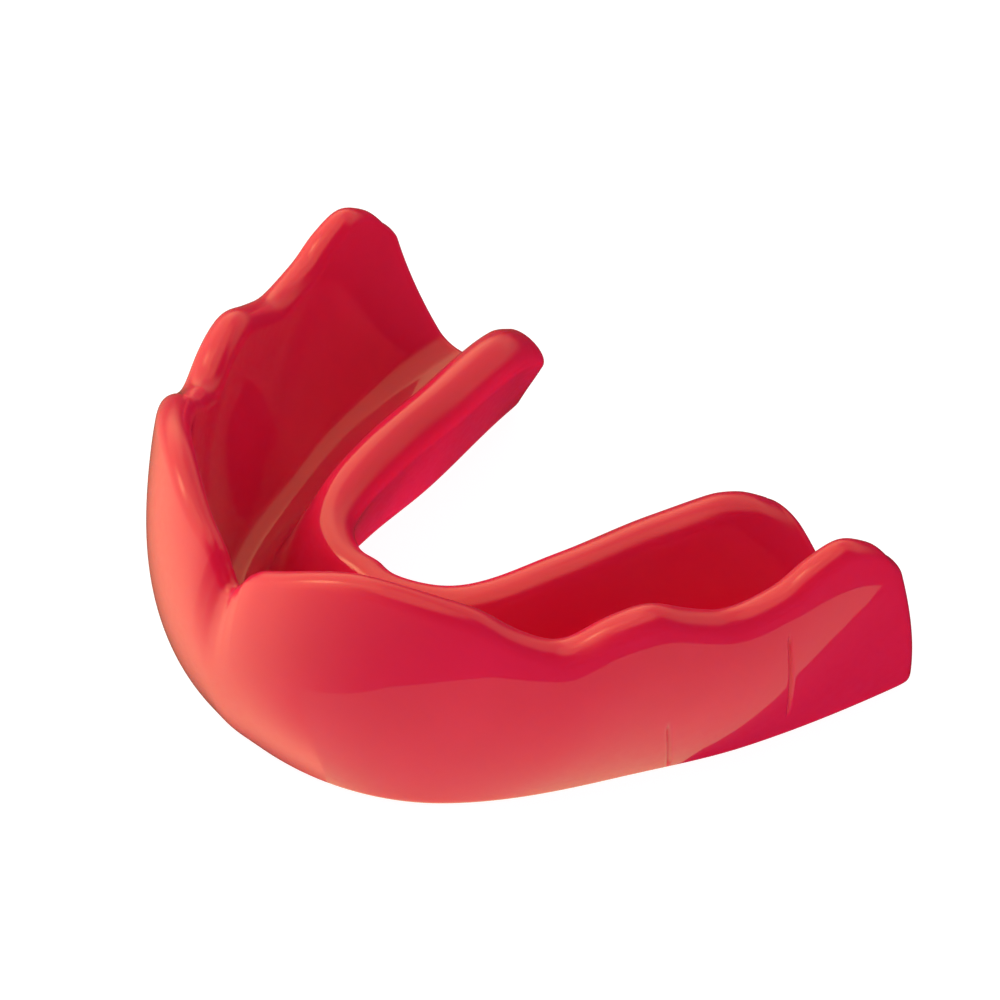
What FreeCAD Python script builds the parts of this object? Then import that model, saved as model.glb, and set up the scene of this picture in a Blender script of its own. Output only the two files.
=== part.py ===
import FreeCAD, Part
import math
import os

# Boil-and-bite mouthguard: one EVA moulding, a U-shaped arch with a tooth channel open at the top
# and at both rear ends. Millimetres. +Z up, front teeth toward -Y, the two arms mirror each other in X.
# Stations along each arm run from 0 at the front midline to 1 at the rear end.

# Arch: the line half way across the channel, seen from above
ARCH_HALF_WIDTH = 22.5
ARCH_DEPTH = 40.4
FRONT_ROUNDNESS = 0.57
REAR_ROUNDNESS = 0.52
REAR_SPLAY = 6.5

# Heights of the outer wall's wavy rim above the resting face
NOTCH_HEIGHT = 13.6
FRONT_LOBE_HEIGHT = 21.7
FIRST_DIP_HEIGHT = 16.3
MIDDLE_LOBE_HEIGHT = 18.6
SECOND_DIP_HEIGHT = 16.2
REAR_LOBE_HEIGHT = 19.5
REAR_CORNER_HEIGHT = 17.4

# Heights of the inner wall's rim
INNER_FRONT_HEIGHT = 11.4
INNER_REAR_HEIGHT = 12.9
INNER_CORNER_HEIGHT = 11.4

# Elliptical corners that end the rims and the bottom: length along the arm, and height taken off
OUTER_CORNER_LENGTH = 3.0
OUTER_CORNER_DROP = 2.6
INNER_CORNER_LENGTH = 1.5
INNER_CORNER_DROP = 1.4
HEEL_LENGTH = 2.0
HEEL_RISE = 0.6

# Bite plate and walls
FLOOR_THICKNESS = 2.9
WALL_BASE = 3.4
CHANNEL_CORNER = 2.0
BOTTOM_CORNER = 1.4
OUTER_RIM_RADIUS = 1.6
INNER_RIM_RADIUS = 2.1
END_ROUNDING = 0.95
FLAT_TRIM = 0.12

# How far each wall's base and rim stand from the arch line
OUTER_BASE_REACH = 6.4
INNER_BASE_REACH = 5.6
OUTER_RIM_REACH = 7.3
INNER_RIM_REACH = 7.0
FRONT_BULGE = 2.6
SIDE_BULGE = 1.2

# Rear ends: the end planes lean forward toward the top
END_LEAN = 17.0
LEAN_START = 0.6

# Moulded trim lines on the outer face near the rear ends
TRIM_LINE_WIDTH = 0.28
TRIM_LINE_DEPTH = 0.22
TRIM_FRONT_STATION = 0.56
TRIM_REAR_STATION = 0.74

# Curves along an arm as (station, share of the named size)
OUTER_BASE = [(0.0, 0.79), (0.25, 1.01), (0.5, 0.95), (0.7, 1.05), (1.0, 1.09)]
INNER_BASE = [(0.0, 1.10), (0.3, 0.82), (0.5, 1.02), (0.7, 1.19), (1.0, 0.97)]
OUTER_REACH = [(0.0, 0.82), (0.12, 0.79), (0.25, 0.89), (0.5, 1.0), (0.7, 1.04), (0.85, 1.02), (1.0, 1.0)]
INNER_REACH = [(0.0, 1.07), (0.15, 0.95), (0.3, 0.83), (0.5, 1.0), (0.7, 1.14), (0.85, 1.13), (1.0, 1.04)]
OUTER_RIM = [(0.0, 0.61), (0.1, 0.79), (0.5, 1.0), (1.0, 0.71)]
INNER_RIM = [(0.0, 0.8), (0.5, 1.0), (1.0, 1.07)]

EASE = 0.012
BEZIER_ARC = 4.0 / 3.0
STATIONS = [0.0, 0.009, 0.019, 0.031, 0.046, 0.065, 0.09] + [0.12 + 0.03 * k for k in range(28)]
STATIONS += [0.945, 0.958, 0.97, 0.98, 0.991, 1.0]


def between(low, high, share):
    return low + (high - low) * share


def crest_points():
    """Outer rim height along an arm: notch, broad lobe, dip, small lobe, shallow dip, tall rear lobe."""
    return [
        (0.0, NOTCH_HEIGHT),
        (0.015, between(NOTCH_HEIGHT, FRONT_LOBE_HEIGHT, 0.54)),
        (0.057, between(NOTCH_HEIGHT, FRONT_LOBE_HEIGHT, 0.75)),
        (0.105, between(NOTCH_HEIGHT, FRONT_LOBE_HEIGHT, 0.92)),
        (0.15, FRONT_LOBE_HEIGHT),
        (0.283, between(FIRST_DIP_HEIGHT, FRONT_LOBE_HEIGHT, 0.67)),
        (0.337, between(FIRST_DIP_HEIGHT, FRONT_LOBE_HEIGHT, 0.26)),
        (0.395, FIRST_DIP_HEIGHT),
        (0.457, between(FIRST_DIP_HEIGHT, MIDDLE_LOBE_HEIGHT, 0.7)),
        (0.511, MIDDLE_LOBE_HEIGHT),
        (0.576, between(SECOND_DIP_HEIGHT, MIDDLE_LOBE_HEIGHT, 0.42)),
        (0.637, SECOND_DIP_HEIGHT),
        (0.726, between(SECOND_DIP_HEIGHT, REAR_LOBE_HEIGHT, 0.25)),
        (0.79, between(SECOND_DIP_HEIGHT, REAR_LOBE_HEIGHT, 0.72)),
        (0.87, REAR_LOBE_HEIGHT),
        (0.94, between(REAR_CORNER_HEIGHT, REAR_LOBE_HEIGHT, 0.6)),
        (1.0, REAR_CORNER_HEIGHT),
    ]


def inner_crest_points():
    return [
        (0.0, INNER_FRONT_HEIGHT),
        (0.25, INNER_FRONT_HEIGHT),
        (0.5, between(INNER_FRONT_HEIGHT, INNER_REAR_HEIGHT, 0.6)),
        (0.7, between(INNER_FRONT_HEIGHT, INNER_REAR_HEIGHT, 0.87)),
        (0.85, INNER_REAR_HEIGHT),
        (0.93, between(INNER_CORNER_HEIGHT, INNER_REAR_HEIGHT, 0.75)),
        (1.0, INNER_CORNER_HEIGHT),
    ]


def bulge_points():
    return [
        (0.0, FRONT_BULGE),
        (0.12, 0.81 * FRONT_BULGE),
        (0.25, 0.9 * SIDE_BULGE),
        (0.5, SIDE_BULGE),
        (1.0, 0.5 * SIDE_BULGE),
    ]


def monotone_value(points, station):
    """Monotone cubic through the points, even about the midline and straight past the last point."""
    mirrored = [(-s, v) for s, v in reversed(points[1:])] + points
    last = len(mirrored) - 1
    gaps = [mirrored[k + 1][0] - mirrored[k][0] for k in range(last)]
    rises = [(mirrored[k + 1][1] - mirrored[k][1]) / gaps[k] for k in range(last)]
    slopes = [rises[0]]
    for k in range(1, last):
        before, after = rises[k - 1], rises[k]
        if before * after <= 0:
            slopes.append(0.0)
        else:
            first = 2 * gaps[k] + gaps[k - 1]
            second = gaps[k] + 2 * gaps[k - 1]
            slopes.append((first + second) / (first / before + second / after))
    slopes.append(rises[-1])
    if station > points[-1][0]:
        return points[-1][1] + slopes[-1] * (station - points[-1][0])
    place = max(k for k in range(last) if mirrored[k][0] <= station or k == 0)
    t = (station - mirrored[place][0]) / gaps[place]
    start, end = mirrored[place][1], mirrored[place + 1][1]
    value = (1 + 2 * t) * (1 - t) ** 2 * start + t * (1 - t) ** 2 * gaps[place] * slopes[place]
    return value + t * t * (3 - 2 * t) * end + t * t * (t - 1) * gaps[place] * slopes[place + 1]


def curve_value(points, station):
    """The monotone cubic eased over a short stretch, which rounds its sharpest turns."""
    total = 0.0
    for step, weight in ((-2, 1), (-1, 4), (0, 6), (1, 4), (2, 1)):
        total += weight * monotone_value(points, station + step * EASE)
    return total / 16


def scaled(table, size):
    return [(station, share * size) for station, share in table]


def arch_line():
    """Points, tangents and lengths along the right-hand half of the arch."""
    rear = (ARCH_HALF_WIDTH, 0.5 * ARCH_DEPTH)
    front = (0.0, -0.5 * ARCH_DEPTH)
    splay = math.radians(REAR_SPLAY)
    reach = REAR_ROUNDNESS * ARCH_DEPTH
    handles = [
        front,
        (FRONT_ROUNDNESS * ARCH_HALF_WIDTH, front[1]),
        (rear[0] - reach * math.sin(splay), rear[1] - reach * math.cos(splay)),
        rear,
    ]
    curve = Part.BezierCurve()
    curve.setPoles([FreeCAD.Vector(x, y, 0) for x, y in handles])
    return curve


ARCH = arch_line()
ARM_LENGTH = ARCH.length()


def station_frame(station):
    """Origin on the arch, outward direction, section-up direction and rearward direction."""
    side = -1.0 if station < 0 else 1.0
    parameter = ARCH.parameterAtDistance(abs(station) * ARM_LENGTH, 0.0)
    point = ARCH.value(parameter)
    rearward = ARCH.tangent(parameter)[0]
    rearward = FreeCAD.Vector(side * rearward.x, rearward.y, 0)
    outward = FreeCAD.Vector(side * rearward.y, -side * rearward.x, 0)
    outward.normalize()
    start = max(0.0, (abs(station) - LEAN_START) / (1.0 - LEAN_START))
    lean = math.radians(END_LEAN) * start * start
    up = FreeCAD.Vector(0, 0, math.cos(lean)) - rearward * math.sin(lean)
    return FreeCAD.Vector(side * point.x, point.y, 0), outward, up, rearward


def unit(lean):
    """Outward normal of a face that leans outward by this angle from the vertical."""
    return (math.cos(lean), -math.sin(lean))


def face_poles(low, low_radius, high, high_radius, bulge):
    """Cubic poles of a wall face between a lower and an upper round; radius sign gives the side."""
    run = high[0] + high_radius - low[0] - low_radius
    rise = high[1] - low[1]
    lean = math.atan2(run, rise)
    spread = math.atan2(4 * bulge, math.hypot(high[0] - low[0], rise))
    low_lean, high_lean = lean + spread, lean - spread
    start = (low[0] + low_radius * unit(low_lean)[0], low[1] + low_radius * unit(low_lean)[1])
    end = (high[0] + high_radius * unit(high_lean)[0], high[1] + high_radius * unit(high_lean)[1])
    reach = math.hypot(end[0] - start[0], end[1] - start[1]) / 3
    poles = [
        start,
        (start[0] + reach * math.sin(low_lean), start[1] + reach * math.cos(low_lean)),
        (end[0] - reach * math.sin(high_lean), end[1] - reach * math.cos(high_lean)),
        end,
    ]
    return poles, low_lean, high_lean


def arc_poles(centre, radius, start, end):
    """Cubic poles of a round from one angle to another."""
    reach = BEZIER_ARC * math.tan((end - start) / 4) * radius
    first = (centre[0] + radius * math.cos(start), centre[1] + radius * math.sin(start))
    last = (centre[0] + radius * math.cos(end), centre[1] + radius * math.sin(end))
    return [
        first,
        (first[0] - reach * math.sin(start), first[1] + reach * math.cos(start)),
        (last[0] + reach * math.sin(end), last[1] - reach * math.cos(end)),
        last,
    ]


def line_poles(start, end):
    return [(between(start[0], end[0], k / 3), between(start[1], end[1], k / 3)) for k in range(4)]


def corner_drop(distance, length, drop):
    """How far an elliptical corner has fallen at a distance before the end plane."""
    share = min(1.0, max(0.0, 1 - distance / length))
    return drop * (1 - math.sqrt(1 - share * share))


def lowered(top, foot, drop):
    """Moves a rim's centre down along its wall, toward the middle of the wall's foot."""
    share = drop / (top[1] - foot[1])
    return (between(top[0], foot[0], share), top[1] - drop)


def section_poles(station, extension):
    """Closed outline across the channel, every piece a cubic; it shrinks all round past station 1."""
    place = abs(station) + extension / ARM_LENGTH
    distance = (1 - place) * ARM_LENGTH + END_ROUNDING
    inset = END_ROUNDING - math.sqrt(max(0.0, END_ROUNDING ** 2 - extension ** 2))
    rim = curve_value(scaled(OUTER_RIM, OUTER_RIM_RADIUS), place)
    inner_rim = curve_value(scaled(INNER_RIM, INNER_RIM_RADIUS), place)
    outer_top = (
        curve_value(scaled(OUTER_REACH, OUTER_RIM_REACH), place),
        curve_value(crest_points(), place) - rim,
    )
    inner_top = (
        -curve_value(scaled(INNER_REACH, INNER_RIM_REACH), place),
        curve_value(inner_crest_points(), place) - inner_rim,
    )
    outer_base = curve_value(scaled(OUTER_BASE, OUTER_BASE_REACH), place)
    inner_base = -curve_value(scaled(INNER_BASE, INNER_BASE_REACH), place)
    bulge = curve_value(bulge_points(), place)
    outer_foot = (outer_base - 0.5 * WALL_BASE, FLOOR_THICKNESS)
    outer_top = lowered(outer_top, outer_foot, corner_drop(distance, OUTER_CORNER_LENGTH, OUTER_CORNER_DROP))
    inner_foot = (inner_base + 0.5 * WALL_BASE, FLOOR_THICKNESS)
    inner_top = lowered(inner_top, inner_foot, corner_drop(distance, INNER_CORNER_LENGTH, INNER_CORNER_DROP))
    floor_width = outer_base - inner_base - 2 * WALL_BASE
    corner = min(CHANNEL_CORNER, 0.48 * floor_width)
    corner_height = FLOOR_THICKNESS + corner
    base_height = BOTTOM_CORNER - FLAT_TRIM + corner_drop(distance, HEEL_LENGTH, HEEL_RISE)
    outer_corner = (outer_base - BOTTOM_CORNER, base_height)
    inner_corner = (inner_base + BOTTOM_CORNER, base_height)
    outer_fillet = (outer_base - WALL_BASE - corner, corner_height)
    inner_fillet = (inner_base + WALL_BASE + corner, corner_height)
    base_radius = BOTTOM_CORNER - inset
    fillet_radius = corner + inset
    rim_radius = rim - inset
    inner_radius = inner_rim - inset

    outer, outer_low, outer_high = face_poles(outer_corner, base_radius, outer_top, rim_radius, bulge)
    tongue, tongue_low, tongue_high = face_poles(inner_corner, -base_radius, inner_top, -inner_radius, 0)
    inside, inside_low, inside_high = face_poles(inner_fillet, -fillet_radius, inner_top, inner_radius, 0)
    facing, facing_low, facing_high = face_poles(
        outer_fillet, fillet_radius, outer_top, -rim_radius, 0.8 * bulge
    )
    down = -0.5 * math.pi
    outer_crown = 0.5 * (math.pi - facing_high - outer_high)
    inner_crown = 0.5 * (math.pi - tongue_high - inside_high)
    return [
        list(reversed(outer)),
        arc_poles(outer_corner, base_radius, -outer_low, down),
        line_poles((outer_corner[0], base_height - base_radius), (inner_corner[0], base_height - base_radius)),
        arc_poles(inner_corner, base_radius, down, -math.pi - tongue_low),
        tongue,
        arc_poles(inner_top, inner_radius, math.pi - tongue_high, inner_crown),
        arc_poles(inner_top, inner_radius, inner_crown, -inside_high),
        list(reversed(inside)),
        arc_poles(inner_fillet, fillet_radius, math.pi - inside_low, math.pi - down),
        line_poles((inner_fillet[0], corner_height - fillet_radius), (outer_fillet[0], corner_height - fillet_radius)),
        arc_poles(outer_fillet, fillet_radius, down, -facing_low),
        facing,
        arc_poles(outer_top, rim_radius, math.pi - facing_high, outer_crown),
        arc_poles(outer_top, rim_radius, outer_crown, -outer_high),
    ]


def placed_section(station, extension):
    """Section poles in space; extension moves the section rearward, square to its own plane."""
    origin, outward, up, rearward = station_frame(station)
    off_plane = outward.cross(up)
    if off_plane.dot(rearward) < 0:
        off_plane = off_plane * -1
    origin = origin + off_plane * extension
    return [[origin + outward * a + up * b for a, b in piece] for piece in section_poles(station, extension)]


def strip_surfaces(sections, parameters):
    """One cubic surface for each piece of the outline, running smoothly through all the sections."""
    surfaces = []
    for piece in range(len(sections[0])):
        rows = []
        for pole in range(4):
            rail = Part.BSplineCurve()
            rail.interpolate(Points=[section[piece][pole] for section in sections], Parameters=parameters)
            rows.append(rail.getPoles())
        surface = Part.BSplineSurface()
        surface.buildFromPolesMultsKnots(
            rows, [4, 4], rail.getMultiplicities(), [0.0, 1.0], rail.getKnots(), False, False, 3, 3
        )
        surfaces.append(surface.toShape())
    return surfaces


def outline_face(section):
    """Flat face inside one section's outline."""
    edges = []
    for piece in section:
        curve = Part.BezierCurve()
        curve.setPoles(piece)
        edges.append(curve.toShape())
    return Part.Face(Part.Wire(edges))


def end_sections(side):
    """Sections that shrink over the last stretch, so the rear end is rounded all round."""
    turns = [math.radians(degrees) for degrees in (0, 15, 30, 45, 60, 75, 86)]
    return [placed_section(side * 1.0, END_ROUNDING * math.sin(turn)) for turn in turns]


def guard_body():
    stations = [-s for s in reversed(STATIONS[1:])] + STATIONS
    body = [placed_section(station, 0.0) for station in stations]
    faces = strip_surfaces(body, [s * ARM_LENGTH for s in stations])
    for side in (-1, 1):
        ends = end_sections(side)
        faces += strip_surfaces(ends, [float(k) for k in range(len(ends))])
        faces.append(outline_face(ends[-1]))
    shell = Part.makeShell(faces)
    shell.sewShape()
    solid = Part.makeSolid(shell)
    if solid.Volume < 0:
        solid.reverse()
    return solid


def trim_line_cutter(station, low_share, high_share):
    """Thin ribbon that follows the outer face between two shares of its height."""
    origin, outward, up, rearward = station_frame(station)
    outline = placed_section(station, 0.0)[0]
    ribbon = []
    for offset in (-TRIM_LINE_DEPTH, WALL_BASE):
        curve = Part.BezierCurve()
        curve.setPoles([pole + outward * offset for pole in outline])
        curve.segment(1 - high_share, 1 - low_share)
        ribbon.append(curve)
    edges = [curve.toShape() for curve in ribbon]
    edges.append(Part.makeLine(ribbon[0].StartPoint, ribbon[1].StartPoint))
    edges.append(Part.makeLine(ribbon[0].EndPoint, ribbon[1].EndPoint))
    face = Part.Face(Part.Wire(Part.__sortEdges__(edges)))
    face.translate(rearward * (-0.5 * TRIM_LINE_WIDTH))
    return face.extrude(rearward * TRIM_LINE_WIDTH)


def centred(shape):
    """Puts the middle of the shape's plan over the origin; it already stands at height 0."""
    box = shape.optimalBoundingBox()
    shape.translate(FreeCAD.Vector(-0.5 * (box.XMin + box.XMax), -0.5 * (box.YMin + box.YMax), 0))
    return shape


def mouthguard():
    body = guard_body()
    ground = Part.makeBox(4 * ARCH_DEPTH, 4 * ARCH_DEPTH, ARCH_DEPTH)
    ground.translate(FreeCAD.Vector(-2 * ARCH_DEPTH, -2 * ARCH_DEPTH, -ARCH_DEPTH))
    body = body.cut(ground)
    for side in (-1, 1):
        body = body.cut(trim_line_cutter(side * TRIM_FRONT_STATION, 0.0, 0.44))
        body = body.cut(trim_line_cutter(side * TRIM_REAR_STATION, 0.2, 0.86))
    return centred(body)


guard = mouthguard()
os.makedirs("parts", exist_ok=True)
guard.exportStep("parts/mouthguard.step")
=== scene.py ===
import math

import bpy
import numpy as np
from mathutils import Matrix, Vector


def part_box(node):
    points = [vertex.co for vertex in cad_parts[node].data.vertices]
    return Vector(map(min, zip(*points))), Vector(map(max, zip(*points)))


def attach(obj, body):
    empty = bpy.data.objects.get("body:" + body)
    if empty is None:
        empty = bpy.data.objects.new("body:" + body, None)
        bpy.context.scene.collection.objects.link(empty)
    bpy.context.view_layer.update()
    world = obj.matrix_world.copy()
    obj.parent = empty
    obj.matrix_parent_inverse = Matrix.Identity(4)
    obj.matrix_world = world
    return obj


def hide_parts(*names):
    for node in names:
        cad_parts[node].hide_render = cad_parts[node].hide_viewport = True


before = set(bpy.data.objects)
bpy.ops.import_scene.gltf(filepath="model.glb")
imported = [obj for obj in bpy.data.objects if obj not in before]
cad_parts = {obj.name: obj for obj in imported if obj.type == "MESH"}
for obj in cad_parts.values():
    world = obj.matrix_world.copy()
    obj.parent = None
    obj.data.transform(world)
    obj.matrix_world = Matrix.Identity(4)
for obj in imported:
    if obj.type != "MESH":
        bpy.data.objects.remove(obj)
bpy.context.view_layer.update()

MM = 0.001

# The moulding's own sizes in millimetres and degrees, the same as the CAD's.
# Arch line, half way across the channel
ARCH_HALF_WIDTH = 22.5
ARCH_DEPTH = 40.4
FRONT_ROUNDNESS = 0.57
REAR_ROUNDNESS = 0.52
REAR_SPLAY = 6.5

# Heights of the two rims, and the rounding of their rear corners and of the heels
NOTCH_HEIGHT = 13.6
FRONT_LOBE_HEIGHT = 21.7
FIRST_DIP_HEIGHT = 16.3
MIDDLE_LOBE_HEIGHT = 18.6
SECOND_DIP_HEIGHT = 16.2
REAR_LOBE_HEIGHT = 19.5
REAR_CORNER_HEIGHT = 17.4
INNER_FRONT_HEIGHT = 11.4
INNER_REAR_HEIGHT = 12.9
INNER_CORNER_HEIGHT = 11.4
OUTER_CORNER_LENGTH = 3.0
OUTER_CORNER_DROP = 2.6
INNER_CORNER_LENGTH = 1.5
INNER_CORNER_DROP = 1.4
HEEL_LENGTH = 2.0
HEEL_RISE = 0.6

# Wall and floor thicknesses and the rounds
FLOOR_THICKNESS = 2.9
WALL_BASE = 3.4
CHANNEL_CORNER = 2.0
BOTTOM_CORNER = 1.4
OUTER_RIM_RADIUS = 1.6
INNER_RIM_RADIUS = 2.1
END_ROUNDING = 0.95
FLAT_TRIM = 0.12

# How far the walls reach from the arch line, how much they bulge, and the lean of the rear ends
OUTER_BASE_REACH = 6.4
INNER_BASE_REACH = 5.6
OUTER_RIM_REACH = 7.3
INNER_RIM_REACH = 7.0
FRONT_BULGE = 2.6
SIDE_BULGE = 1.2
END_LEAN = 17.0
LEAN_START = 0.6

# Shares of those sizes against the share of the arch length from the midline
OUTER_BASE = [(0.0, 0.79), (0.25, 1.01), (0.5, 0.95), (0.7, 1.05), (1.0, 1.09)]
INNER_BASE = [(0.0, 1.10), (0.3, 0.82), (0.5, 1.02), (0.7, 1.19), (1.0, 0.97)]
OUTER_REACH = [
    (0.0, 0.82), (0.12, 0.79), (0.25, 0.89), (0.5, 1.0), (0.7, 1.04), (0.85, 1.02), (1.0, 1.0),
]
INNER_REACH = [
    (0.0, 1.07), (0.15, 0.95), (0.3, 0.83), (0.5, 1.0), (0.7, 1.14), (0.85, 1.13), (1.0, 1.04),
]
OUTER_RIM = [(0.0, 0.61), (0.1, 0.79), (0.5, 1.0), (1.0, 0.71)]
INNER_RIM = [(0.0, 0.8), (0.5, 1.0), (1.0, 1.07)]

# Step of the five-point smoothing along the arch, and its weights
EASE = 0.012
EASE_WEIGHTS = ((-2, 1), (-1, 4), (0, 6), (1, 4), (2, 1))
EASE_TOTAL = 16

# Trim lines: station half way up, lowest and highest share of the outer face's height.
# The tilt moves a line's top toward the front over its length.
TRIM_LINES = [(0.56, 0.0, 0.44), (0.74, 0.2, 0.86)]
TRIM_TILT = 1.6
TRIM_HALF_WIDTH = 0.12
TRIM_DEPTH = 0.3

# Samples on each of the outline's 14 pieces; the two sides of a wall pair up one to one
PIECE_SAMPLES = [34, 8, 16, 8, 26, 10, 10, 26, 8, 16, 8, 34, 10, 10]

# Samples of the arch line, pitch of the stations and where they lie closer, rings at the ends
ARCH_SAMPLES = 4001
STATION_PITCH = 0.32
NOTCH_END, NOTCH_STATIONS = 0.03, 25
CORNER_START, CORNER_STATIONS = 0.94, 13
TRIM_STATIONS = 37
END_RINGS = 9
CAP_COLUMNS = 4


def between(low, high, share):
    """Value at a share of the way from low to high."""
    return low + (high - low) * share


def crest_points():
    """Height of the outer rim's crest at its stations."""
    lobe, first, middle = FRONT_LOBE_HEIGHT, FIRST_DIP_HEIGHT, MIDDLE_LOBE_HEIGHT
    second, rear, corner = SECOND_DIP_HEIGHT, REAR_LOBE_HEIGHT, REAR_CORNER_HEIGHT
    return [
        (0.0, NOTCH_HEIGHT),
        (0.015, between(NOTCH_HEIGHT, lobe, 0.54)),
        (0.057, between(NOTCH_HEIGHT, lobe, 0.75)),
        (0.105, between(NOTCH_HEIGHT, lobe, 0.92)),
        (0.15, lobe),
        (0.283, between(first, lobe, 0.67)),
        (0.337, between(first, lobe, 0.26)),
        (0.395, first),
        (0.457, between(first, middle, 0.7)),
        (0.511, middle),
        (0.576, between(second, middle, 0.42)),
        (0.637, second),
        (0.726, between(second, rear, 0.25)),
        (0.79, between(second, rear, 0.72)),
        (0.87, rear),
        (0.94, between(corner, rear, 0.6)),
        (1.0, corner),
    ]


def inner_crest_points():
    """Height of the inner rim's crest at its stations."""
    front, rear = INNER_FRONT_HEIGHT, INNER_REAR_HEIGHT
    return [
        (0.0, front),
        (0.25, front),
        (0.5, between(front, rear, 0.6)),
        (0.7, between(front, rear, 0.87)),
        (0.85, rear),
        (0.93, between(INNER_CORNER_HEIGHT, rear, 0.75)),
        (1.0, INNER_CORNER_HEIGHT),
    ]


def bulge_points():
    """Bulge of the outer wall at its stations."""
    return [
        (0.0, FRONT_BULGE),
        (0.12, 0.81 * FRONT_BULGE),
        (0.25, 0.9 * SIDE_BULGE),
        (0.5, SIDE_BULGE),
        (1.0, 0.5 * SIDE_BULGE),
    ]


def monotone_value(points, station):
    """Monotone cubic through the points, even about the midline."""
    mirrored = [(-s, v) for s, v in reversed(points[1:])] + points
    last = len(mirrored) - 1
    gaps = [mirrored[k + 1][0] - mirrored[k][0] for k in range(last)]
    rises = [(mirrored[k + 1][1] - mirrored[k][1]) / gaps[k] for k in range(last)]
    slopes = [rises[0]]
    for k in range(1, last):
        before, after = rises[k - 1], rises[k]
        if before * after <= 0:
            slopes.append(0.0)
        else:
            first = 2 * gaps[k] + gaps[k - 1]
            second = gaps[k] + 2 * gaps[k - 1]
            slopes.append((first + second) / (first / before + second / after))
    slopes.append(rises[-1])
    if station > points[-1][0]:
        return points[-1][1] + slopes[-1] * (station - points[-1][0])
    place = max(k for k in range(last) if mirrored[k][0] <= station or k == 0)
    t = (station - mirrored[place][0]) / gaps[place]
    start, end = mirrored[place][1], mirrored[place + 1][1]
    value = (1 + 2 * t) * (1 - t) ** 2 * start + t * (1 - t) ** 2 * gaps[place] * slopes[place]
    return value + t * t * (3 - 2 * t) * end + t * t * (t - 1) * gaps[place] * slopes[place + 1]


def curve_value(points, station):
    """Value of a table at a station, eased so that no point of it shows."""
    total = 0.0
    for step, weight in EASE_WEIGHTS:
        total += weight * monotone_value(points, station + step * EASE)
    return total / EASE_TOTAL


def scaled(table, size):
    """The table's shares as sizes."""
    return [(station, share * size) for station, share in table]


def bezier(poles, t):
    """Points on a cubic at the parameters t."""
    p = np.array(poles, float)
    t = np.asarray(t, float)[:, None]
    start = (1 - t) ** 3 * p[0] + 3 * (1 - t) ** 2 * t * p[1]
    return start + 3 * (1 - t) * t ** 2 * p[2] + t ** 3 * p[3]


class Arch:
    """Right-hand half of the line half way across the channel, read by share of its length."""

    def __init__(self):
        rear = (ARCH_HALF_WIDTH, 0.5 * ARCH_DEPTH)
        front = (0.0, -0.5 * ARCH_DEPTH)
        splay = math.radians(REAR_SPLAY)
        reach = REAR_ROUNDNESS * ARCH_DEPTH
        self.poles = [
            front,
            (FRONT_ROUNDNESS * ARCH_HALF_WIDTH, front[1]),
            (rear[0] - reach * math.sin(splay), rear[1] - reach * math.cos(splay)),
            rear,
        ]
        self.t = np.linspace(0, 1, ARCH_SAMPLES)
        points = bezier(self.poles, self.t)
        steps = np.linalg.norm(np.diff(points, axis=0), axis=1)
        self.lengths = np.concatenate([[0.0], np.cumsum(steps)])
        self.length = self.lengths[-1]

    def frame(self, station):
        """Origin, outward, section-up, rearward and off-plane directions at a station."""
        side = -1.0 if station < 0 else 1.0
        t = np.interp(abs(station) * self.length, self.lengths, self.t)
        p = np.array(self.poles, float)
        point = bezier(p, [t])[0]
        first, middle, last = p[1] - p[0], p[2] - p[1], p[3] - p[2]
        slope = 3 * ((1 - t) ** 2 * first + 2 * (1 - t) * t * middle + t * t * last)
        slope /= np.linalg.norm(slope)
        rearward = np.array([side * slope[0], slope[1], 0.0])
        outward = np.array([side * rearward[1], -side * rearward[0], 0.0])
        start = max(0.0, (abs(station) - LEAN_START) / (1.0 - LEAN_START))
        lean = math.radians(END_LEAN) * start * start
        up = np.array([0.0, 0.0, math.cos(lean)]) - rearward * math.sin(lean)
        off_plane = np.cross(outward, up)
        if off_plane @ rearward < 0:
            off_plane = -off_plane
        return np.array([side * point[0], point[1], 0.0]), outward, up, rearward, off_plane


ARCH = Arch()


def unit(lean):
    """Direction square to a face that leans this far from upright."""
    return (math.cos(lean), -math.sin(lean))


def face_poles(low, low_radius, high, high_radius, bulge):
    """Cubic poles of a wall face between a lower and an upper round."""
    run = high[0] + high_radius - low[0] - low_radius
    rise = high[1] - low[1]
    lean = math.atan2(run, rise)
    spread = math.atan2(4 * bulge, math.hypot(high[0] - low[0], rise))
    low_lean, high_lean = lean + spread, lean - spread
    start = (low[0] + low_radius * unit(low_lean)[0], low[1] + low_radius * unit(low_lean)[1])
    end = (high[0] + high_radius * unit(high_lean)[0], high[1] + high_radius * unit(high_lean)[1])
    reach = math.hypot(end[0] - start[0], end[1] - start[1]) / 3
    poles = [
        start,
        (start[0] + reach * math.sin(low_lean), start[1] + reach * math.cos(low_lean)),
        (end[0] - reach * math.sin(high_lean), end[1] - reach * math.cos(high_lean)),
        end,
    ]
    return poles, low_lean, high_lean


def arc_points(centre, radius, start, end, count):
    """Points along an arc, without its last one."""
    turn = start + (end - start) * np.arange(count) / count
    return np.stack([centre[0] + radius * np.cos(turn), centre[1] + radius * np.sin(turn)], 1)


def line_points(start, end, count):
    """Points along a line, without its last one."""
    share = np.arange(count)[:, None] / count
    return np.array(start) + (np.array(end) - np.array(start)) * share


def ground_turn(height, radius):
    """Angle at which a bottom round meets the resting plane."""
    return -math.asin(min(1.0, height / radius))


def corner_drop(distance, length, drop):
    """How far an elliptical corner has fallen at a distance before the end plane."""
    share = min(1.0, max(0.0, 1 - distance / length))
    return drop * (1 - math.sqrt(1 - share * share))


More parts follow.
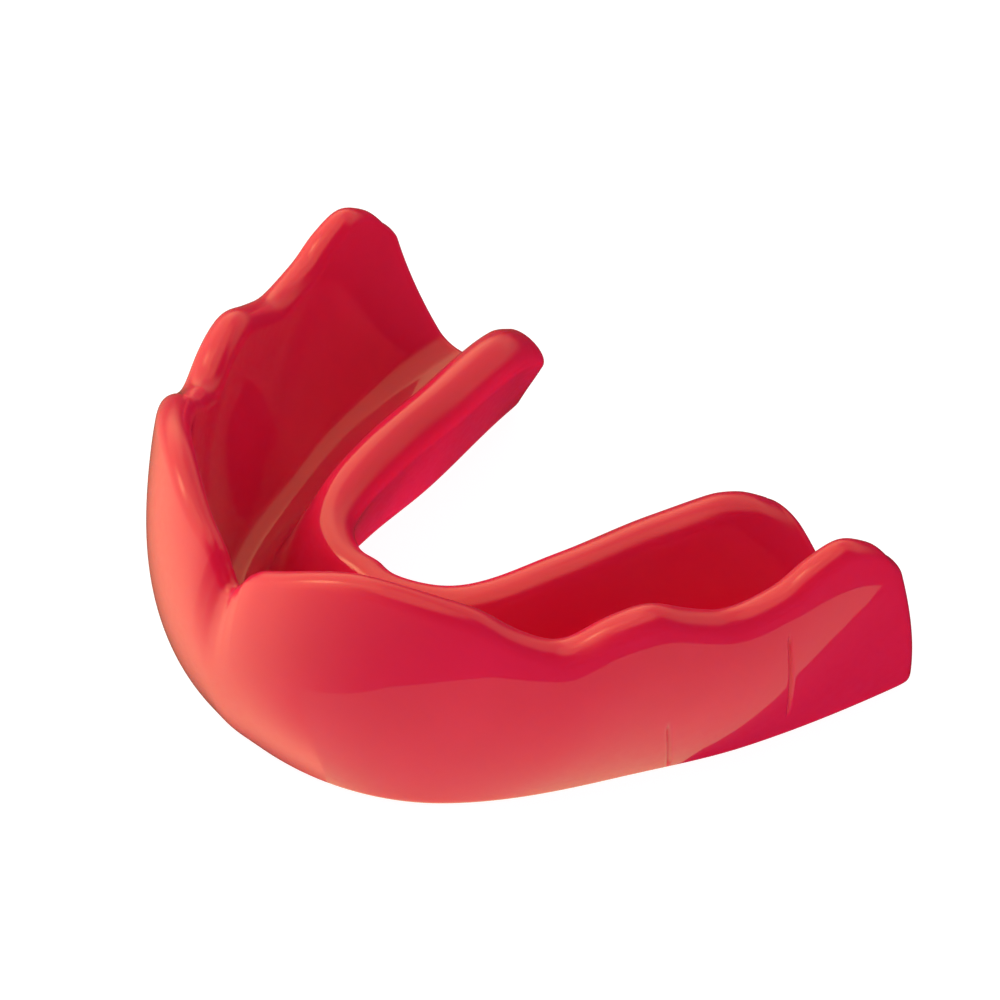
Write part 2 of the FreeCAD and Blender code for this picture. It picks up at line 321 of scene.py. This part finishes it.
def lowered(top, foot, drop):
    """Moves a rim's centre down along its wall, toward the middle of the wall's foot."""
    share = drop / (top[1] - foot[1])
    return (between(top[0], foot[0], share), top[1] - drop)


def section_points(station, extension):
    """Closed outline across the channel as points, piece after piece; it shrinks past station 1."""
    place = abs(station) + extension / ARCH.length
    distance = (1 - place) * ARCH.length + END_ROUNDING
    inset = END_ROUNDING - math.sqrt(max(0.0, END_ROUNDING ** 2 - extension ** 2))
    rim = curve_value(scaled(OUTER_RIM, OUTER_RIM_RADIUS), place)
    inner_rim = curve_value(scaled(INNER_RIM, INNER_RIM_RADIUS), place)
    outer_top = (
        curve_value(scaled(OUTER_REACH, OUTER_RIM_REACH), place),
        curve_value(crest_points(), place) - rim,
    )
    inner_top = (
        -curve_value(scaled(INNER_REACH, INNER_RIM_REACH), place),
        curve_value(inner_crest_points(), place) - inner_rim,
    )
    outer_base = curve_value(scaled(OUTER_BASE, OUTER_BASE_REACH), place)
    inner_base = -curve_value(scaled(INNER_BASE, INNER_BASE_REACH), place)
    bulge = curve_value(bulge_points(), place)
    outer_foot = (outer_base - 0.5 * WALL_BASE, FLOOR_THICKNESS)
    outer_drop = corner_drop(distance, OUTER_CORNER_LENGTH, OUTER_CORNER_DROP)
    outer_top = lowered(outer_top, outer_foot, outer_drop)
    inner_foot = (inner_base + 0.5 * WALL_BASE, FLOOR_THICKNESS)
    inner_drop = corner_drop(distance, INNER_CORNER_LENGTH, INNER_CORNER_DROP)
    inner_top = lowered(inner_top, inner_foot, inner_drop)
    corner = min(CHANNEL_CORNER, 0.48 * (outer_base - inner_base - 2 * WALL_BASE))
    corner_height = FLOOR_THICKNESS + corner
    base_height = BOTTOM_CORNER - FLAT_TRIM + corner_drop(distance, HEEL_LENGTH, HEEL_RISE)
    outer_corner = (outer_base - BOTTOM_CORNER, base_height)
    inner_corner = (inner_base + BOTTOM_CORNER, base_height)
    outer_fillet = (outer_base - WALL_BASE - corner, corner_height)
    inner_fillet = (inner_base + WALL_BASE + corner, corner_height)
    base_radius = BOTTOM_CORNER - inset
    fillet_radius = corner + inset
    rim_radius = rim - inset
    inner_radius = inner_rim - inset

    outer, outer_low, outer_high = face_poles(outer_corner, base_radius, outer_top, rim_radius, bulge)
    tongue, tongue_low, tongue_high = face_poles(
        inner_corner, -base_radius, inner_top, -inner_radius, 0
    )
    inside, inside_low, inside_high = face_poles(
        inner_fillet, -fillet_radius, inner_top, inner_radius, 0
    )
    facing, facing_low, facing_high = face_poles(
        outer_fillet, fillet_radius, outer_top, -rim_radius, 0.8 * bulge
    )
    down = -0.5 * math.pi
    meet = max(down, ground_turn(base_height, base_radius))
    foot_out = (
        outer_corner[0] + base_radius * math.cos(meet),
        base_height + base_radius * math.sin(meet),
    )
    foot_in = (inner_corner[0] - base_radius * math.cos(meet), foot_out[1])
    floor_height = corner_height - fillet_radius
    outer_crown = 0.5 * (math.pi - facing_high - outer_high)
    inner_crown = 0.5 * (math.pi - tongue_high - inside_high)
    n = PIECE_SAMPLES
    return np.concatenate([
        bezier(list(reversed(outer)), np.arange(n[0]) / n[0]),
        arc_points(outer_corner, base_radius, -outer_low, meet, n[1]),
        line_points(foot_out, foot_in, n[2]),
        arc_points(inner_corner, base_radius, -math.pi - meet, -math.pi - tongue_low, n[3]),
        bezier(tongue, np.arange(n[4]) / n[4]),
        arc_points(inner_top, inner_radius, math.pi - tongue_high, inner_crown, n[5]),
        arc_points(inner_top, inner_radius, inner_crown, -inside_high, n[6]),
        bezier(list(reversed(inside)), np.arange(n[7]) / n[7]),
        arc_points(inner_fillet, fillet_radius, math.pi - inside_low, math.pi - down, n[8]),
        line_points((inner_fillet[0], floor_height), (outer_fillet[0], floor_height), n[9]),
        arc_points(outer_fillet, fillet_radius, down, -facing_low, n[10]),
        bezier(facing, np.arange(n[11]) / n[11]),
        arc_points(outer_top, rim_radius, math.pi - facing_high, outer_crown, n[12]),
        arc_points(outer_top, rim_radius, outer_crown, -outer_high, n[13]),
    ])


def smooth_step(low, high, value):
    """Rises smoothly from 0 at low to 1 at high."""
    t = np.clip((value - low) / (high - low), 0, 1)
    return t * t * (3 - 2 * t)


def trim_depth(station, share):
    """Depth of the moulded trim lines on the outer face at a share of its height."""
    depth = np.zeros_like(share)
    for line, low, high in TRIM_LINES:
        tilt = TRIM_TILT * (share - 0.5 * (low + high)) / (high - low)
        off = ((abs(station) - line) * ARCH.length + tilt) / TRIM_HALF_WIDTH
        along = smooth_step(low - 0.02, low + 0.05, share) * (1 - smooth_step(high - 0.07, high, share))
        depth += TRIM_DEPTH * along * np.exp(-off * off)
    return depth


def placed_section(station, extension):
    """Section in space; extension moves it rearward, square to its own plane."""
    origin, outward, up, rearward, off_plane = ARCH.frame(station)
    flat = section_points(station, extension)
    share = 1 - np.arange(PIECE_SAMPLES[0]) / PIECE_SAMPLES[0]
    flat[:PIECE_SAMPLES[0], 0] -= trim_depth(station, share)
    return origin + off_plane * extension + outward * flat[:, :1] + up * flat[:, 1:]


def station_list():
    """Stations on one arm: even pitch, closer at the notch, the rear corner and the trim lines."""
    places = set(np.round(np.linspace(0, 1, int(ARCH.length / STATION_PITCH) + 1), 6))
    places |= set(np.round(np.linspace(0, NOTCH_END, NOTCH_STATIONS), 6))
    places |= set(np.round(np.linspace(CORNER_START, 1, CORNER_STATIONS), 6))
    for line, low, high in TRIM_LINES:
        reach = (3 * TRIM_HALF_WIDTH + 0.5 * TRIM_TILT) / ARCH.length
        places = {p for p in places if abs(p - line) > reach * 1.1}
        places |= set(np.round(np.linspace(line - reach, line + reach, TRIM_STATIONS), 6))
    return sorted(places)


def crown_chains():
    """Outline indices from the outer to the inner crown, round the outside and through the channel."""
    starts = np.concatenate([[0], np.cumsum(PIECE_SAMPLES)])
    total = int(starts[-1])
    outer_crown, inner_crown = int(starts[13]), int(starts[6])
    outside = [k % total for k in range(outer_crown, total + inner_crown + 1)]
    channel = list(range(outer_crown, inner_crown - 1, -1))
    return outside, channel


def guard_mesh():
    """Skin of the moulding in quads, with rounded and closed rear ends."""
    stations = station_list()
    turns = [math.radians(90 * k / END_RINGS) for k in range(1, END_RINGS + 1)]
    columns = []
    for side in (-1, 1):
        ends = [(side * 1.0, END_ROUNDING * math.sin(turn)) for turn in turns]
        half = [(side * s, 0.0) for s in stations if s > 0 or side > 0] + ends
        columns += list(reversed(half)) if side < 0 else half
    rings = [placed_section(*column) for column in columns]
    count = len(rings[0])
    vertices = list(np.concatenate(rings))
    faces = []
    for i in range(len(rings) - 1):
        for j in range(count):
            k = (j + 1) % count
            faces.append((i * count + j, i * count + k, (i + 1) * count + k, (i + 1) * count + j))
    outside, channel = crown_chains()
    across = CAP_COLUMNS
    for end, base in ((0, 0), (1, (len(rings) - 1) * count)):
        rows = []
        for a, b in zip(outside, channel):
            if a == b:
                rows.append([base + a] * (across + 1))
                continue
            first, last = vertices[base + a], vertices[base + b]
            row = [base + a]
            for step in range(1, across):
                vertices.append(first + (last - first) * step / across)
                row.append(len(vertices) - 1)
            rows.append(row + [base + b])
        for upper, lower in zip(rows, rows[1:]):
            for j in range(across):
                face = [upper[j], upper[j + 1], lower[j + 1], lower[j]]
                face = [v for n, v in enumerate(face) if v not in face[:n]]
                faces.append(tuple(face if end == 0 else reversed(face)))
    return np.array(vertices), faces


vertices, faces = guard_mesh()
low, high = vertices.min(0), vertices.max(0)
node_low, node_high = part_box("mouthguard")
shift = np.array([
    0.5 * (node_low.x + node_high.x) / MM - 0.5 * (low[0] + high[0]),
    0.5 * (node_low.y + node_high.y) / MM - 0.5 * (low[1] + high[1]),
    node_low.z / MM - low[2],
])
vertices = (vertices + shift) * MM

mesh = bpy.data.meshes.new("mouthguard_shell")
mesh.from_pydata(vertices.tolist(), [], faces)
mesh.validate()
mesh.update()
mesh.polygons.foreach_set("use_smooth", [True] * len(mesh.polygons))
guard = bpy.data.objects.new("mouthguard_shell", mesh)
bpy.context.scene.collection.objects.link(guard)
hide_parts("mouthguard")
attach(guard, "root")


def node(tree, kind, inputs=None, **settings):
    """A new shader node; an input is a value or the output that feeds it."""
    made = tree.nodes.new(kind)
    for name, value in settings.items():
        setattr(made, name, value)
    for name, value in (inputs or {}).items():
        if isinstance(value, bpy.types.NodeSocket):
            tree.links.new(value, made.inputs[name])
        else:
            made.inputs[name].default_value = value
    return made


def ramp(tree, factor, stops):
    """Colour that runs through the stops with the factor."""
    made = node(tree, "ShaderNodeValToRGB", {"Fac": factor})
    while len(made.color_ramp.elements) < len(stops):
        made.color_ramp.elements.new(0.5)
    for element, (place, colour) in zip(made.color_ramp.elements, stops):
        element.position = place
        element.color = colour
    return made.outputs["Color"]


def eva_material():
    """Glossy, slightly translucent red EVA."""
    material = bpy.data.materials.new("eva_red")
    material.use_nodes = True
    tree = material.node_tree
    shader = tree.nodes["Principled BSDF"]
    place = node(tree, "ShaderNodeTexCoord").outputs["Object"]
    cloud = node(tree, "ShaderNodeTexNoise", {
        "Vector": place, "Scale": 90.0, "Detail": 3.0, "Roughness": 0.5,
    })
    fine = node(tree, "ShaderNodeTexNoise", {
        "Vector": place, "Scale": 1400.0, "Detail": 4.0, "Roughness": 0.6,
    })
    colour = ramp(tree, cloud.outputs["Fac"], [
        (0.3, (0.70, 0.0105, 0.063, 1)),
        (0.7, (0.75, 0.0130, 0.073, 1)),
    ])
    tree.links.new(colour, shader.inputs["Base Color"])
    rough = node(tree, "ShaderNodeMapRange", {
        "Value": fine.outputs["Fac"],
        "From Min": 0.3, "From Max": 0.7, "To Min": 0.36, "To Max": 0.44,
    })
    tree.links.new(rough.outputs["Result"], shader.inputs["Roughness"])
    shader.inputs["IOR"].default_value = 1.48
    shader.inputs["Specular IOR Level"].default_value = 0.1
    shader.inputs["Coat Weight"].default_value = 0.9
    shader.inputs["Coat Roughness"].default_value = 0.035
    shader.inputs["Subsurface Weight"].default_value = 0.8
    shader.inputs["Subsurface Radius"].default_value = (1.0, 0.1, 0.1)
    shader.inputs["Subsurface Scale"].default_value = 0.004
    broad = node(tree, "ShaderNodeTexNoise", {"Vector": place, "Scale": 140.0, "Detail": 2.0})
    wave = node(tree, "ShaderNodeBump", {
        "Height": broad.outputs["Fac"], "Strength": 0.2, "Distance": 0.0002,
    })
    grain = node(tree, "ShaderNodeBump", {
        "Height": fine.outputs["Fac"], "Strength": 0.15, "Distance": 0.00002,
        "Normal": wave.outputs["Normal"],
    })
    tree.links.new(grain.outputs["Normal"], shader.inputs["Normal"])
    tree.links.new(wave.outputs["Normal"], shader.inputs["Coat Normal"])
    return material


guard.data.materials.append(eva_material())


def floor_material():
    """Plain pale paper, bright enough to stay white round the moulding."""
    material = bpy.data.materials.new("floor_paper")
    material.use_nodes = True
    tree = material.node_tree
    shader = tree.nodes["Principled BSDF"]
    place = node(tree, "ShaderNodeTexCoord").outputs["Object"]
    cloud = node(tree, "ShaderNodeTexNoise", {"Vector": place, "Scale": 8.0, "Detail": 2.0})
    colour = ramp(tree, cloud.outputs["Fac"], [
        (0.3, (0.27, 0.27, 0.27, 1)),
        (0.7, (0.30, 0.30, 0.30, 1)),
    ])
    tree.links.new(colour, shader.inputs["Base Color"])
    shader.inputs["Roughness"].default_value = 0.8
    shader.inputs["Specular IOR Level"].default_value = 0.1
    shader.inputs["Emission Color"].default_value = (1, 1, 1, 1)
    shader.inputs["Emission Strength"].default_value = 0.93
    return material


FLOOR_HALF_SIDE = 1.5
FLOOR_HEIGHT = -0.00005
floor_mesh = bpy.data.meshes.new("floor")
floor_mesh.from_pydata(
    [
        (side_x * FLOOR_HALF_SIDE, side_y * FLOOR_HALF_SIDE, FLOOR_HEIGHT)
        for side_x, side_y in ((-1, -1), (1, -1), (1, 1), (-1, 1))
    ],
    [], [(0, 1, 2, 3)],
)
floor = bpy.data.objects.new("floor", floor_mesh)
bpy.context.scene.collection.objects.link(floor)
floor.data.materials.append(floor_material())


def area_light(name, place, target, size, power, colour):
    """A rectangular lamp that faces its target and stays out of reflections."""
    data = bpy.data.lights.new(name, "AREA")
    data.shape = "RECTANGLE"
    data.size, data.size_y = size
    data.energy = power
    data.color = colour
    lamp = bpy.data.objects.new(name, data)
    bpy.context.scene.collection.objects.link(lamp)
    lamp.location = place
    aim = Vector(target) - Vector(place)
    lamp.rotation_mode = "QUATERNION"
    lamp.rotation_quaternion = aim.to_track_quat("-Z", "Y")
    lamp.visible_glossy = False
    return lamp


def aimed(azimuth, elevation, distance):
    """Point at a distance in a compass direction, +X being 0 and +Y 90."""
    bearing, climb = math.radians(azimuth), math.radians(elevation)
    along = distance * math.cos(climb)
    return (along * math.cos(bearing), along * math.sin(bearing), distance * math.sin(climb))


# Warm key from the left of the picture, and light thrown up between the two arms
KEY_DISTANCE = 0.6
GUARD_MIDDLE = (0, 0, 0.01)
area_light("key", aimed(-152, 46, KEY_DISTANCE), GUARD_MIDDLE, (0.34, 0.28), 1.9, (1.0, 0.82, 0.6))
BOUNCE_X, BOUNCE_Y = -0.006, 0.008
bounce = area_light(
    "bounce", (BOUNCE_X, BOUNCE_Y, 0.0005), (BOUNCE_X, BOUNCE_Y, 0.1), (0.022, 0.026), 0.0014,
    (1.0, 0.9, 0.9),
)
bounce.visible_camera = False


def card(name, vertices, faces, colour, strengths):
    """A glowing stage sheet that only reflections see, with a strength at each corner."""
    glow = bpy.data.materials.new(name)
    glow.use_nodes = True
    glow.cycles.emission_sampling = "NONE"
    tree = glow.node_tree
    tree.nodes.clear()
    strength = node(tree, "ShaderNodeAttribute", attribute_name="strength")
    emission = node(tree, "ShaderNodeEmission", {
        "Color": (*colour, 1), "Strength": strength.outputs["Fac"],
    })
    output = node(tree, "ShaderNodeOutputMaterial")
    tree.links.new(emission.outputs["Emission"], output.inputs["Surface"])
    sheet_mesh = bpy.data.meshes.new(name)
    sheet_mesh.from_pydata(vertices, [], faces)
    sheet_mesh.attributes.new("strength", "FLOAT", "POINT").data.foreach_set("value", strengths)
    sheet_mesh.materials.append(glow)
    sheet = bpy.data.objects.new(name, sheet_mesh)
    bpy.context.scene.collection.objects.link(sheet)
    sheet.visible_camera = sheet.visible_diffuse = sheet.visible_shadow = False
    sheet.visible_transmission = sheet.visible_volume_scatter = False
    return sheet


# A sheet of lit table in millimetres, brighter along its left edge, that only reflections see;
# the plain floor itself stays out of them
LIT_FLOOR = [
    (26, 4), (45, 29), (51, 16), (53, 5), (50, -12), (40, -24), (24, -34), (8, -36), (8, -12),
]
LIT_FLOOR_STRENGTHS = [0.6] * 7 + [0.85] * 2
corners = [(x * MM, y * MM, 0.0) for x, y in LIT_FLOOR]
card("lit_floor", corners, [tuple(range(len(corners)))], (0.9, 1.0, 0.5), LIT_FLOOR_STRENGTHS)


# The pale room: strengths, compass directions and spreads in degrees
WINDOW_STRENGTH, WINDOW_AZIMUTH, WINDOW_SPREAD, WINDOW_FALL = 2.8, -132, 50, 0.4
LAMP_STRENGTH, LAMP_AZIMUTH, LAMP_ELEVATION, LAMP_SPREAD = 5.5, -143, 50, 10
BACK_STRENGTH, BACK_RISE = 0.95, 1.15
CEILING_STRENGTH = 1.6


def studio_glow(azimuth, elevation):
    """Strength of the room in a direction: a window on the left with a lamp in it, back and ceiling."""
    off = (azimuth - WINDOW_AZIMUTH + 180) % 360 - 180
    fall = WINDOW_FALL * float(smooth_step(15, 60, -elevation))
    window = WINDOW_STRENGTH * math.exp(-(off / WINDOW_SPREAD) ** 2) * (1 - fall)
    bearing = azimuth % 360
    around = float(smooth_step(38, 58, bearing) * (1 - smooth_step(195, 225, bearing)))
    strength = BACK_STRENGTH + BACK_RISE * float(smooth_step(118, 145, bearing))
    back_wall = strength * around * float(smooth_step(0, 26, elevation))
    ceiling = CEILING_STRENGTH * float(smooth_step(48, 68, elevation))
    sideways = (azimuth - LAMP_AZIMUTH) / LAMP_SPREAD
    climb = (elevation - LAMP_ELEVATION) / LAMP_SPREAD
    lamp = LAMP_STRENGTH * math.exp(-sideways ** 2 - climb ** 2)
    return max(window, back_wall, ceiling) + lamp


# Shells round the scene, as points in an even grid of directions
SHELL_COLUMNS, SHELL_ROWS = 120, 60
POLE = 89.9
ROOM_RADIUS = 0.9
BACKDROP_RADIUS = 2.5
directions = [
    (-180 + 360 * i / SHELL_COLUMNS, -POLE + 2 * POLE * j / SHELL_ROWS)
    for i in range(SHELL_COLUMNS) for j in range(SHELL_ROWS + 1)
]
quads = []
for i in range(SHELL_COLUMNS):
    for j in range(SHELL_ROWS):
        near = i * (SHELL_ROWS + 1) + j
        far = (i + 1) % SHELL_COLUMNS * (SHELL_ROWS + 1) + j
        quads.append((near, far, far + 1, near + 1))
points = [aimed(azimuth, elevation, ROOM_RADIUS) for azimuth, elevation in directions]
strengths = [studio_glow(azimuth, elevation) for azimuth, elevation in directions]
card("surroundings", points, quads, (1.0, 0.72, 0.34), strengths)
floor.visible_glossy = False

# Plain white beyond the edge of the floor, out of the light and the reflections
points = [aimed(azimuth, elevation, BACKDROP_RADIUS) for azimuth, elevation in directions]
backdrop = card("backdrop", points, quads, (1.0, 1.0, 1.0), [1.0] * len(points))
backdrop.visible_camera = True
backdrop.visible_glossy = False

# Soft light from all round, paler toward the horizon than overhead
world = bpy.data.worlds.new("studio")
world.use_nodes = True
sky_tree = world.node_tree
background = sky_tree.nodes["Background"]
background.inputs["Color"].default_value = (1.0, 1.0, 1.0, 1)
direction = node(sky_tree, "ShaderNodeSeparateXYZ", {
    "Vector": node(sky_tree, "ShaderNodeTexCoord").outputs["Generated"],
})
height = node(sky_tree, "ShaderNodeMapRange", {
    "Value": direction.outputs["Z"], "From Min": 0.0, "From Max": 1.0, "To Min": 0.58, "To Max": 0.46,
})
sky_tree.links.new(height.outputs["Result"], background.inputs["Strength"])
world.cycles_visibility.glossy = False
bpy.context.scene.world = world


# Camera: three quarters from the wearer's left, above the teeth line
AZIMUTH = 44.696
ELEVATION = 38.422
ROLL = 3.431
DISTANCE = 0.315875
AIM = (0.00042, 0.004797, 0.010649)

a, e, r = map(math.radians, (AZIMUTH, ELEVATION, ROLL))
back = Vector((math.sin(a) * math.cos(e), -math.cos(a) * math.cos(e), math.sin(e)))
level = Vector((math.cos(a), math.sin(a), 0))
upright = back.cross(level)
right = math.cos(r) * level + math.sin(r) * upright
upward = back.cross(right)
camera_data = bpy.data.cameras.new("camera")
camera_data.lens = 143.0
camera_data.sensor_width = 36.0
camera_data.clip_start = 0.01
camera_data.clip_end = 10.0
camera = bpy.data.objects.new("camera", camera_data)
bpy.context.scene.collection.objects.link(camera)
turn = Matrix((right, upward, back)).transposed().to_4x4()
camera.matrix_world = Matrix.Translation(Vector(AIM) + back * DISTANCE) @ turn
bpy.context.scene.camera = camera

view = bpy.context.scene.view_settings
view.view_transform = "Standard"
view.look = "None"
view.exposure = 0.0
view.gamma = 1.0
